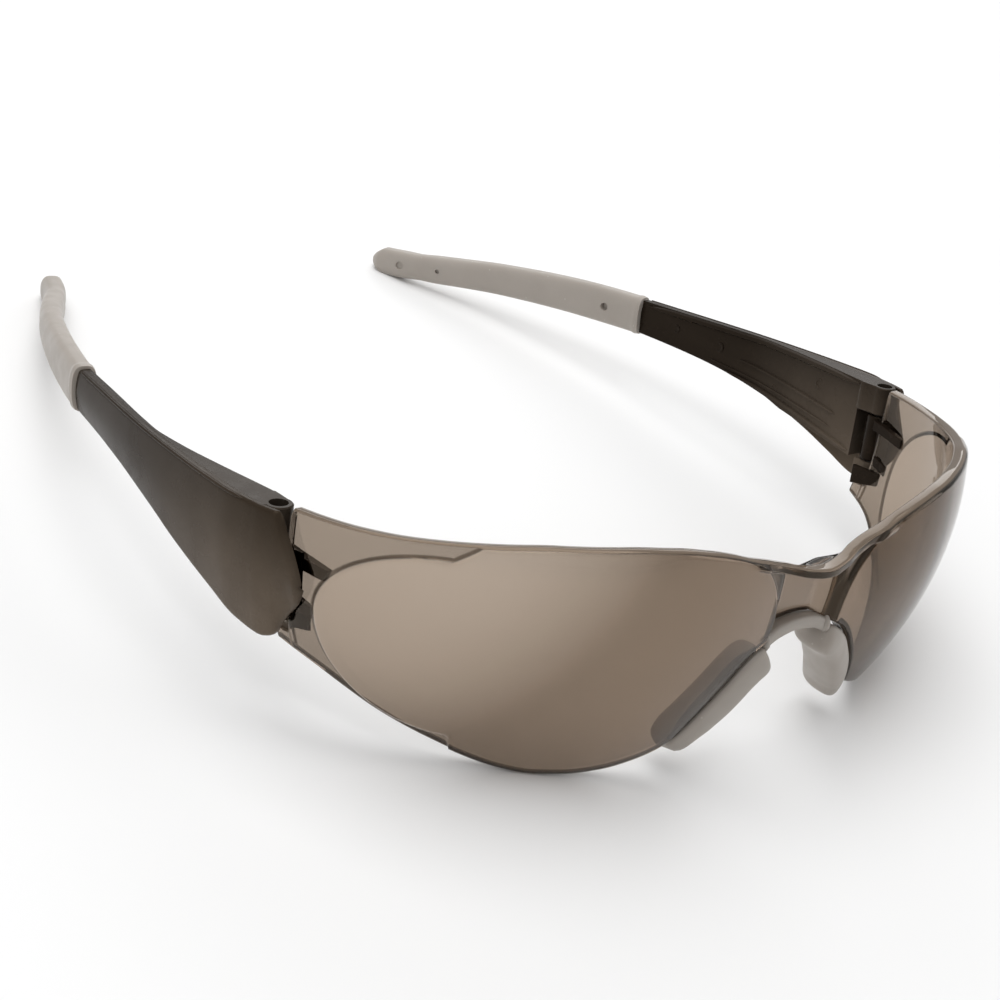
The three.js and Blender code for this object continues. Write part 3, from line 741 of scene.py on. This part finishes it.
# ---------------------------------------------------------------- temples
panel_outer = smooth_line([
    (-10, 70.5), (-6, 71.4), (-2.5, 72.5), (0, 73.2), (3, 73.7), (8, 74.1), (15, 73.9), (24, 73.3),
    (34, 72.3), (44, 70.9), (54, 69.3), (64, 67.7),
])
panel_top = smooth_line([
    (-7.3, -9.9), (-6.9, -8.5), (-6, -6.6), (-5, -4.6), (-4.1, -2.8), (-3.4, -1.1), (-2.8, -0.2), (-2.4, 0),
    (64, 0.2),
])
panel_bottom = smooth_line([
    (-7.3, -10.9), (-6.7, -12.7), (-5.4, -14.4), (-3.9, -16.4), (-3.2, -17.7), (-2.6, -19.1), (-1.6, -20.1),
    (0.2, -20.6), (5, -19.9), (11.5, -17.6), (20, -14.6), (30, -11.6), (43, -9), (54, -7.8), (64, -7.1),
])
flange_inner = smooth_line([
    (0, 67.7), (6, 68.4), (16, 69.7), (25, 70.6), (31, 70.8), (38, 70), (47, 68.5), (54, 67.3), (64, 65.7),
])
pocket_roof = smooth_line([(2, -15.6), (30, -11.9), (40, -9.6)])
rear_out = smooth_line([
    (50, 68.9), (62, 66.9), (75, 63.4), (86, 59.6), (97, 55), (106, 50.2), (112, 46.6), (117, 44),
    (121.5, 42.2), (125, 40.9),
])
rear_height = smooth_line([(50, -3.9), (62, -3.4), (80, -3.1), (95, -3.4), (110, -4.2), (125, -4.9)])


def shield_outer(y, z):
    """How far out the lens's side shield reaches there."""
    share = min(1, (LENS_CENTRE_Y - y) / lens_depth(z))
    return BRIDGE_HALF + (half_width(z) - BRIDGE_HALF) * math.sqrt(1 - share**2)


def rounding(distance, radius):
    """How far a face drops at that distance from its edge, for an edge rounded to the radius."""
    near = 1 - min(1, max(0, distance / radius))
    return radius * (1 - math.sqrt(1 - near**2))


def temple_panel():
    """The thin outer wall, crowned from top to bottom, with its front lip over the side shield."""
    stations = np.concatenate([np.linspace(PANEL_FRONT, -2.0, 36), np.linspace(-1.6, PANEL_REAR, 110)])
    rows = 26
    loops = []
    for y in stations:
        top, bottom = float(panel_top(y)), float(panel_bottom(y))
        top_slope = float(panel_top(y + 0.1) - panel_top(y - 0.1)) / 0.2
        bottom_slope = float(panel_bottom(y + 0.1) - panel_bottom(y - 0.1)) / 0.2
        wall = mix(1.2, 1.7, float(smoothstep(y, 0, 8)))
        over_zone = ZONE_RAISE * (1 - float(smoothstep(y, -7, -5)))
        lean = 1.3 * (1 - float(smoothstep(y, 2, 26)))
        outside, inside = [], []
        for i in range(rows + 1):
            t = (1 - math.cos(math.pi * i / rows)) / 2
            z = mix(top, bottom, t)
            face = float(panel_outer(y)) + 0.6 * math.sin(math.pi * t) - lean * t * t
            if y < LIP_REAR:
                lip = shield_outer(y, z) + PART_GAP + over_zone + wall
                face = (face + lip + math.hypot(face - lip, 0.5)) / 2
            inner = face - wall
            if RECESS_FRONT < y < RECESS_REAR and KNUCKLE_BOTTOM - 0.4 < z < KNUCKLE_TOP + 0.4:
                inner = min(max(inner, RECESS_WALL), face - 0.45)
            edge = min((top - z) / math.hypot(1, top_slope), (z - bottom) / math.hypot(1, bottom_slope))
            edge = min(edge, y - PANEL_FRONT + 0.05)
            outside.append((face - rounding(edge, 0.55), y, z))
            inside.insert(0, (inner + rounding(edge, 0.25), y, z))
        loops.append(outside + inside)
    return loft(loops)


def temple_core():
    """The thick inner part. Its lower edge rises clear of the panel's, which leaves a pocket."""
    loops = []
    for y in np.linspace(4.0, PANEL_REAR, 60):
        top = float(panel_top(y)) - 0.02
        bottom = float(max(panel_bottom(y) + 0.3, pocket_roof(y)))
        outer, inner = float(panel_outer(y)) - 0.6, float(flange_inner(y))
        loops.append([(outer, y, top), (outer, y, bottom), (inner, y, bottom), (inner, y, top)])
    return loft(loops)


def bead():
    """The thin raised line along the panel's outer upper edge."""
    loops = []
    for y in np.linspace(3.5, 61.5, 80):
        size = 0.28 * math.sqrt(float(smoothstep(y, 3.2, 6)) + 0.02)
        centre = (float(panel_outer(y)) - 0.12, float(panel_top(y)) - 0.2)
        loops.append([
            (centre[0] + size * math.cos(a), y, centre[1] + size * math.sin(a))
            for a in round_angles(8)
        ])
    return loft(loops)


def inner_rib(start, end, half):
    """A long rib on the temple's inner face, between two (distance back, height) ends."""
    loops = []
    for t in np.linspace(0, 1, 30):
        y, z = mix(start[0], end[0], t), mix(start[1], end[1], t)
        x = float(flange_inner(y))
        size = half * math.sqrt(max(0.05, 1 - abs(2 * t - 1) ** 8))
        stand = 0.5 * min(1, size / 0.35)
        loops.append([
            (x - stand, y, z + size * 0.5), (x, y, z + size), (x + 0.4, y, z + size), (x + 0.4, y, z - size),
            (x, y, z - size), (x - stand, y, z - size * 0.5),
        ])
    return loft(loops)


# a step line, the flange under the top edge, the rim of the pocket and a fine line above it
INNER_RIBS = [
    ((9.5, -8.7), (36.6, -5.8), 0.35), ((4.6, -0.75), (60.5, -0.6), 0.7), ((4.6, -14.5), (40, -9.0), 0.5),
    ((10, -11.6), (44, -7.6), 0.25),
]


MARKS = ((15, -4.2, 1.1), (27, -9.2, 0.9), (42, -4.6, 1.1), (53, -3.6, 0.9))  # distance back, height, radius
MARK_RINGS = ((0.3, 1), (-0.04, 1), (-0.1, 0.86), (-0.1, 0.72), (0.02, 0.6))  # depth, share of the radius


def ejector_marks():
    """Low round marks on the temple's inner face."""
    marks = []
    for y, z, radius in MARKS:
        x = float(flange_inner(y))
        loops = []
        for depth, share in MARK_RINGS:
            size = radius * share
            loops.append([
                (x + depth, y + size * math.cos(a), z + size * math.sin(a)) for a in round_angles(24)
            ])
        marks.append(loft(loops))
    return marks


def lug_reach(radius, back_y, inner_x, outer_x):
    """The outline of a lug: round at the front, and squared off behind the pin by three planes."""
    def reach(angle):
        c, s = math.cos(angle), math.sin(angle)
        limits = [9.0]
        if s > 0.02:
            limits.append(back_y / s)
        if c > 0.02:
            limits.append((outer_x - PIN_X) / c)
        if c < -0.02:
            limits.append((inner_x - PIN_X) / c)
        square = min(limits)
        return mix(radius, max(radius * 0.9, square), float(smoothstep(s, 0.0, 0.35)))
    return reach


def temple_lugs():
    """The temple's upper and lower knuckles, with the pin's bore and the open mouth above it."""
    high = KNUCKLE_TOP + PART_GAP
    top_profile = [
        (MOUTH_RADIUS, 0.01), (OUTLINE - 0.2, 0.01), (OUTLINE, -0.2), (OUTLINE, high + 0.2),
        (OUTLINE - 0.2, high), (1.3, high), (BORE_RADIUS, high + 0.15), (BORE_RADIUS, -1.5),
        (MOUTH_RADIUS, -1.2),
    ]
    top = turned(top_profile, (PIN_X, 0), lug_reach(TOP_LUG_RADIUS, 4.4, 67.9, 72.9), 64)
    low = KNUCKLE_BOTTOM - PART_GAP
    # the lowest part stays round, because it turns over the lens's tail
    bottom_profile = [
        (1.3, low), (OUTLINE - 0.2, low), (OUTLINE, low - 0.2), (OUTLINE, -18.4), (OUTLINE - 0.2, -18.6),
        (1.65, -18.6), (1.65, -19.1), (1.45, BOTTOM_LUG_END), (0.35, BOTTOM_LUG_END), (0.3, -18.55),
        (BORE_RADIUS, -18.5), (BORE_RADIUS, low - 0.2),
    ]
    bottom = turned(bottom_profile, (PIN_X, 0), lug_reach(BOTTOM_LUG_RADIUS, 2.6, 68.2, 71.4), 64)
    return [top, bottom]


def rear_loop(y, half_w, half_h, sides):
    """A rounded section across the temple's centre line, flattened at its sides."""
    step = 0.5
    heading = np.array([float(rear_out(y + step) - rear_out(y - step)), 2 * step, 0.0])
    heading /= np.linalg.norm(heading)
    across = np.array([heading[1], -heading[0], 0.0])
    centre = np.array([float(rear_out(y)), y, float(rear_height(y))])
    angles = 2 * np.pi * (np.arange(sides) + 0.5) / sides
    c, s = np.cos(angles), np.sin(angles)
    out = half_w * np.sign(c) * np.abs(c) ** 0.6
    up = half_h * np.sign(s) * np.abs(s) ** 0.75
    return centre + out[:, None] * across + up[:, None] * np.array([0, 0, 1.0])


def tongue():
    """The temple's core inside the sleeve."""
    return loft([rear_loop(y, 0.95, 2.4, 12) for y in np.linspace(58, TONGUE_END, 20)])


# ---------------------------------------------------------------- sleeves
def sleeve_half(y, plain, lip, neck, tip):
    """Half a size of the sleeve: raised by a lip at its front, drawn in at its neck, and rounded
    over the length of its tip."""
    nose = math.sqrt(min(1, max(0.02, (SLEEVE_END - y) / tip)))
    raised = lip * math.exp(-((y - SLEEVE_FRONT - 0.9) / 0.6) ** 2)
    drawn_in = -neck * math.exp(-((y - SLEEVE_NECK) / 2.2) ** 2)
    return (plain + raised + drawn_in) * nose


def sleeve_half_height(y):
    plain = mix(4.0, 3.1, float(smoothstep(y, 66, 118)))
    return sleeve_half(y, plain, lip=0.16, neck=0.18, tip=3)


def sleeve_half_width(y):
    return sleeve_half(y, SLEEVE_HALF_WIDTH, lip=0.2, neck=0.22, tip=2)


def sleeve_body():
    stations = np.concatenate([
        np.linspace(SLEEVE_FRONT, 66, 16), np.linspace(66.5, 120, 90), np.linspace(120.4, SLEEVE_END, 18),
    ])
    return loft([rear_loop(y, sleeve_half_width(y), sleeve_half_height(y), 40) for y in stations])


def sleeve(name, side):
    """The soft sleeve, with its moulding holes cut into the side that faces the head."""
    piece = build(name, [sleeve_body()], SOFT, side)
    upright = np.array([0, 0, 1])
    for y, radius, depth in SLEEVE_HOLES:
        heading = math.atan2(float(rear_out(y + 0.5) - rear_out(y - 0.5)), 1)
        across = np.array([math.cos(heading), -math.sin(heading), 0])
        along = np.array([math.sin(heading), math.cos(heading), 0])
        mouth = np.array([float(rear_out(y)), y, float(rear_height(y))]) - across * sleeve_half_width(y)
        loops = []
        for deep, size in ((-0.6, 1.25), (-0.05, 1.12), (0.12, 1.0), (depth, 0.9)):
            loops.append([
                mouth + across * deep + radius * size * (math.cos(a) * along + math.sin(a) * upright)
                for a in round_angles(24)
            ])
        cutter = build(name + "_cutter", [loft(loops)], SOFT, side)
        cut = piece.modifiers.new("hole", "BOOLEAN")
        cut.operation = "DIFFERENCE"
        cut.solver = "EXACT"
        cut.object = cutter
        settle(piece)
        bpy.data.objects.remove(cutter)
    piece.data.set_sharp_from_angle(angle=math.radians(50))
    return piece


# ---------------------------------------------------------------- assembly
def place(piece, body, slot_name, *nodes):
    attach(piece, body)
    if nodes:
        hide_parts(*nodes)


def front_of_glasses():
    body, layers = lens_shell()
    shell = build("lens_shell", [body], SMOKE, layers=layers)
    place(shell, "front", "smoke_lens", "lens")
    for side, word in ((1, "left"), (-1, "right")):
        hinge = build(f"lens_hinge_{word}", hinge_block(), SMOKE_THICK, side, bevel=0.15, segments=2)
        place(hinge, "front", "smoke_lens")
        flange = build(f"lens_flange_{word}", [nose_flange()], SMOKE_FLANGE, side, bevel=0.3)
        place(flange, "front", "smoke_lens")
    pads = []
    for side in (1, -1):
        points, faces = nose_pad()
        points = points * np.array([side, 1, 1])
        pads.append((points, faces))
    nose = build("nose_bridge_and_pads", [*pads, nose_strip(), nose_tab(1), nose_tab(-1)], SOFT)
    place(nose, "front", "soft_grey", "nose_piece")


PIN_PROFILE = [
    (0.02, PIN_TOP), (0.75, PIN_TOP), (PIN_RADIUS, PIN_TOP - 0.25), (PIN_RADIUS, PIN_BOTTOM + 0.25),
    (0.75, PIN_BOTTOM), (0.02, PIN_BOTTOM),
]


def arms():
    for side, word in ((1, "left"), (-1, "right")):
        body = f"{word}_arm"
        panel = build(f"temple_panel_{word}", [temple_panel(), bead()], TEMPLE, side)
        place(panel, body, "temple_dark", f"temple_{word}")
        ribs = [inner_rib(start, end, half) for start, end, half in INNER_RIBS]
        bodies = [temple_core(), *ribs, *ejector_marks(), tongue()]
        core = build(f"temple_core_{word}", bodies, TEMPLE_CORE_SHADED, side, bevel=0.3, sharp=40)
        place(core, body, "temple_dark")
        lugs = build(f"temple_lugs_{word}", temple_lugs(), TEMPLE_CORE_SHADED, side)
        lugs.data.set_sharp_from_angle(angle=math.radians(30))
        place(lugs, body, "temple_dark")
        place(sleeve(f"sleeve_{word}", side), body, "soft_grey", f"temple_sleeve_{word}")
        pin = build(f"pin_{word}", [turned(PIN_PROFILE, (PIN_X, 0), sides=32)], STEEL, side)
        pin.data.set_sharp_from_angle(angle=math.radians(30))
        place(pin, body, "pin_steel", f"hinge_pin_{word}")


front_of_glasses()
arms()


# ---------------------------------------------------------------- floor, lights and camera
def floor():
    n = Nodes("studio_floor")
    cloud = n.noise(1.5, 2.0)
    pale = n.ramp(cloud, [(0.3, (0.86, 0.86, 0.86)), (0.7, (0.89, 0.89, 0.89))])
    n.link(pale, n.shader.inputs["Base Color"])
    n.set(Roughness=0.6, Specular_IOR_Level=0.2)
    data = bpy.data.meshes.new("studio_floor")
    half = 6.0
    corners = [(-half, -half, 0), (half, -half, 0), (half, half, 0), (-half, half, 0)]
    data.from_pydata(corners, [], [(0, 1, 2, 3)])
    data.materials.append(n.material)
    sheet = bpy.data.objects.new("studio_floor", data)
    bpy.context.scene.collection.objects.link(sheet)


# name, place, what it points at, size (all in metres) and power in watts
SOFTBOXES = [
    ("top_softbox", (-0.1, 0.15, 0.9), (0, 0, 0), (1.0, 0.8), 6.6),
    ("left_softbox", (-0.9, -0.1, 0.45), (0, 0, 0.02), (0.6, 0.8), 1.3),
    ("back_softbox", (0.55, 0.62, 0.42), (0, 0, 0.03), (0.8, 0.45), 2.2),
    ("right_softbox", (0.8, -0.6, 0.5), (0, 0, 0.02), (0.5, 0.7), 1.9),
]


def softbox(name, place_at, look_at, size, power):
    data = bpy.data.lights.new(name, "AREA")
    data.shape = "RECTANGLE"
    data.size, data.size_y = size
    data.energy = power
    lamp = bpy.data.objects.new(name, data)
    lamp.location = place_at
    lamp.rotation_euler = (Vector(look_at) - Vector(place_at)).to_track_quat("-Z", "Y").to_euler()
    bpy.context.scene.collection.objects.link(lamp)


def light():
    world = bpy.data.worlds.new("studio")
    world.use_nodes = True
    background = world.node_tree.nodes["Background"]
    background.inputs["Color"].default_value = (1, 1, 1, 1)
    background.inputs["Strength"].default_value = 0.4
    bpy.context.scene.world = world
    for softbox_facts in SOFTBOXES:
        softbox(*softbox_facts)


# the eye and the picture's right and upward directions, in the worn frame
CAMERA_EYE = (-204.4, -188.7, 94.1)
CAMERA_RIGHT = (0.75399, -0.64719, 0.11246)
CAMERA_UP = (0.15908, 0.346, 0.92465)


def camera():
    """Looks from the wearer's right, in front of the hinge pins and above them."""
    eye = Vector(to_model([CAMERA_EYE])[0])
    right = Vector(np.array(CAMERA_RIGHT) @ WORN_AXES)
    up = Vector(np.array(CAMERA_UP) @ WORN_AXES)
    data = bpy.data.cameras.new("camera")
    data.lens = 63.0
    data.sensor_width = 36.0
    data.clip_start = 0.01
    view = bpy.data.objects.new("camera", data)
    away = right.cross(up).normalized()
    right = up.cross(away).normalized()
    up = away.cross(right)
    turn = Matrix((right, up, away)).transposed().to_4x4()
    view.matrix_world = Matrix.Translation(eye) @ turn
    bpy.context.scene.collection.objects.link(view)
    bpy.context.scene.camera = view


floor()
light()
camera()
bpy.context.scene.view_settings.view_transform = "Standard"
